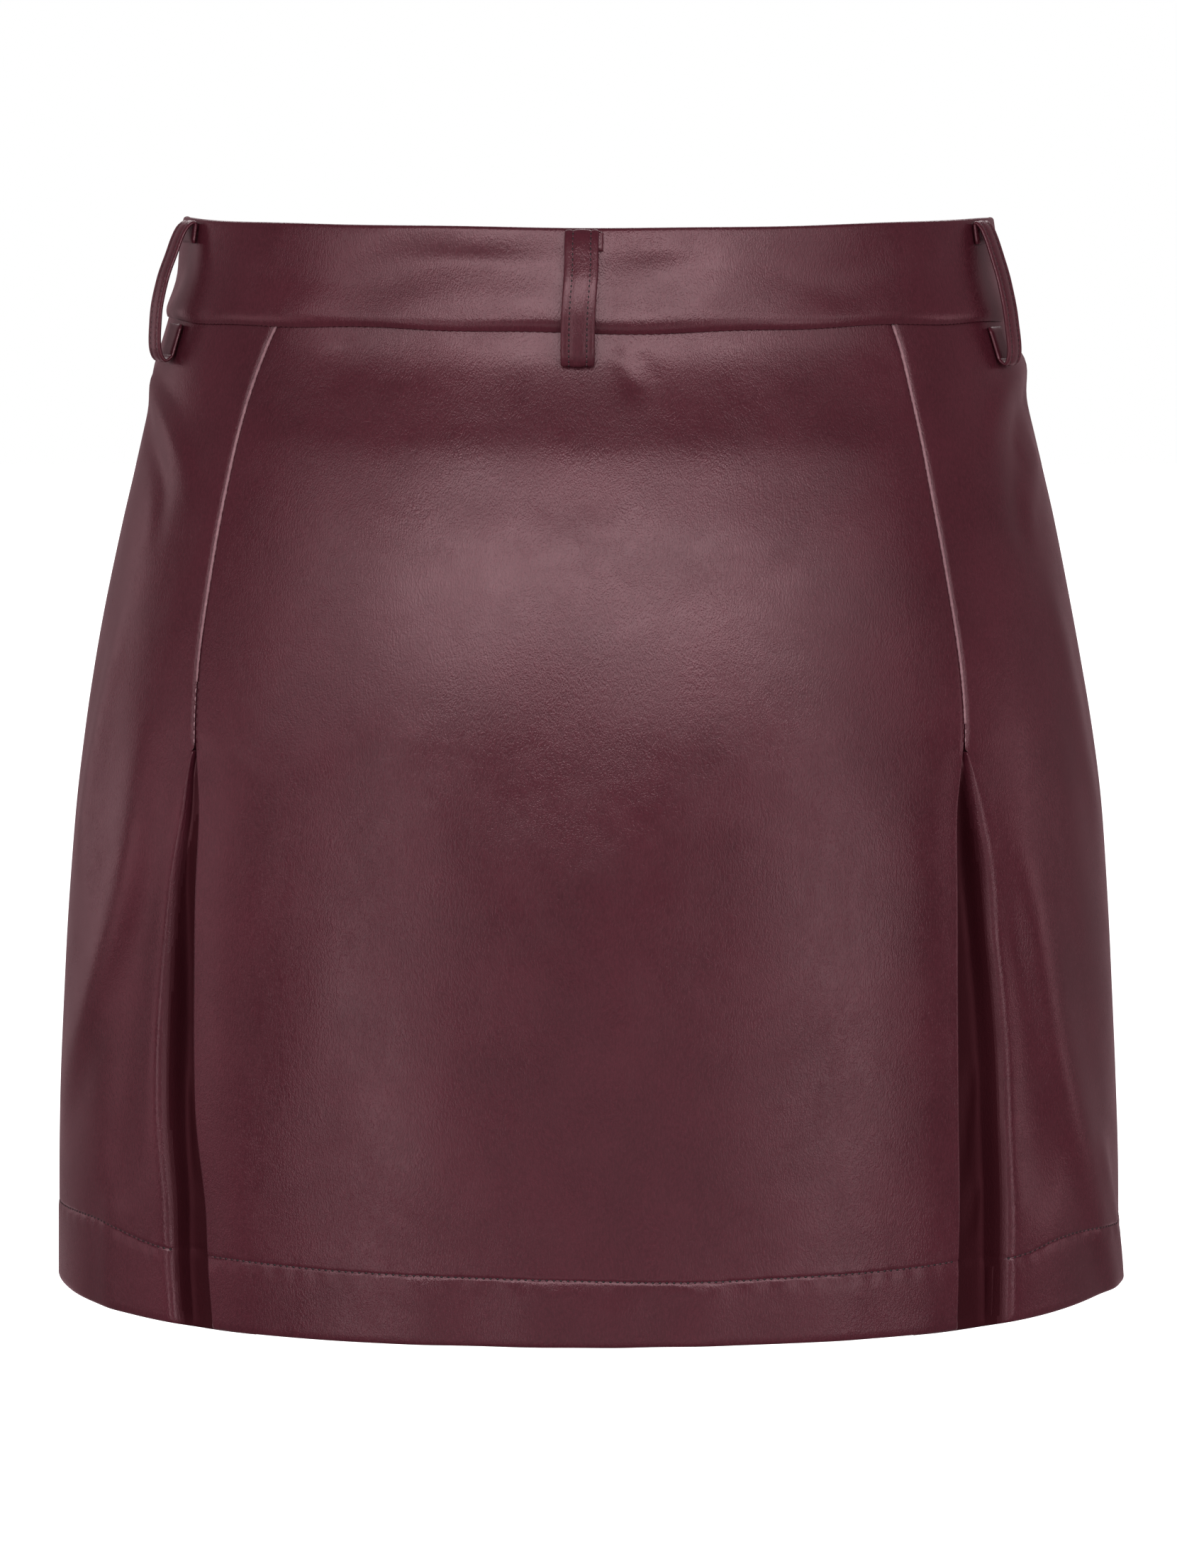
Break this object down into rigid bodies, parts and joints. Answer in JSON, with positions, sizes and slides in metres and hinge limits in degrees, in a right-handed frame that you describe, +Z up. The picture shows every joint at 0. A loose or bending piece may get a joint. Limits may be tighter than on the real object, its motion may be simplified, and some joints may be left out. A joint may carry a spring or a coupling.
{
  "type": "leather skirt",
  "caption": "Short leather skirt with a waistband, belt loops, curved back seams that open into pleats, and a turned-up hem, filled out as if worn.",
  "frame": {"origin": "on the wearer's axis, at half the height of the waistband", "axes": "+Z up, -Y out of the skirt's back, +X towards the wearer's right"},
  "size_m": [0.3949, 0.2526, 0.3962],
  "materials": {
    "leather": "burgundy, fine grain, satin",
    "zip_tape": "woven tape",
    "button": "plain, covered to match"
  },
  "bodies": {
    "root": {"back_centre": "leather", "side_back_left": "leather", "side_back_right": "leather", "front_left": "leather", "front_right": "leather", "waistband_back": "leather", "waistband_front_left": "leather", "waistband_front_right": "leather", "waistband_underlap": "leather", "belt_loop_back": "leather", "belt_loop_side_left": "leather", "belt_loop_side_right": "leather", "belt_loop_front_left": "leather", "belt_loop_front_right": "leather", "fly_zip": "zip_tape", "waist_button": "button"}
  },
  "joints": []
}
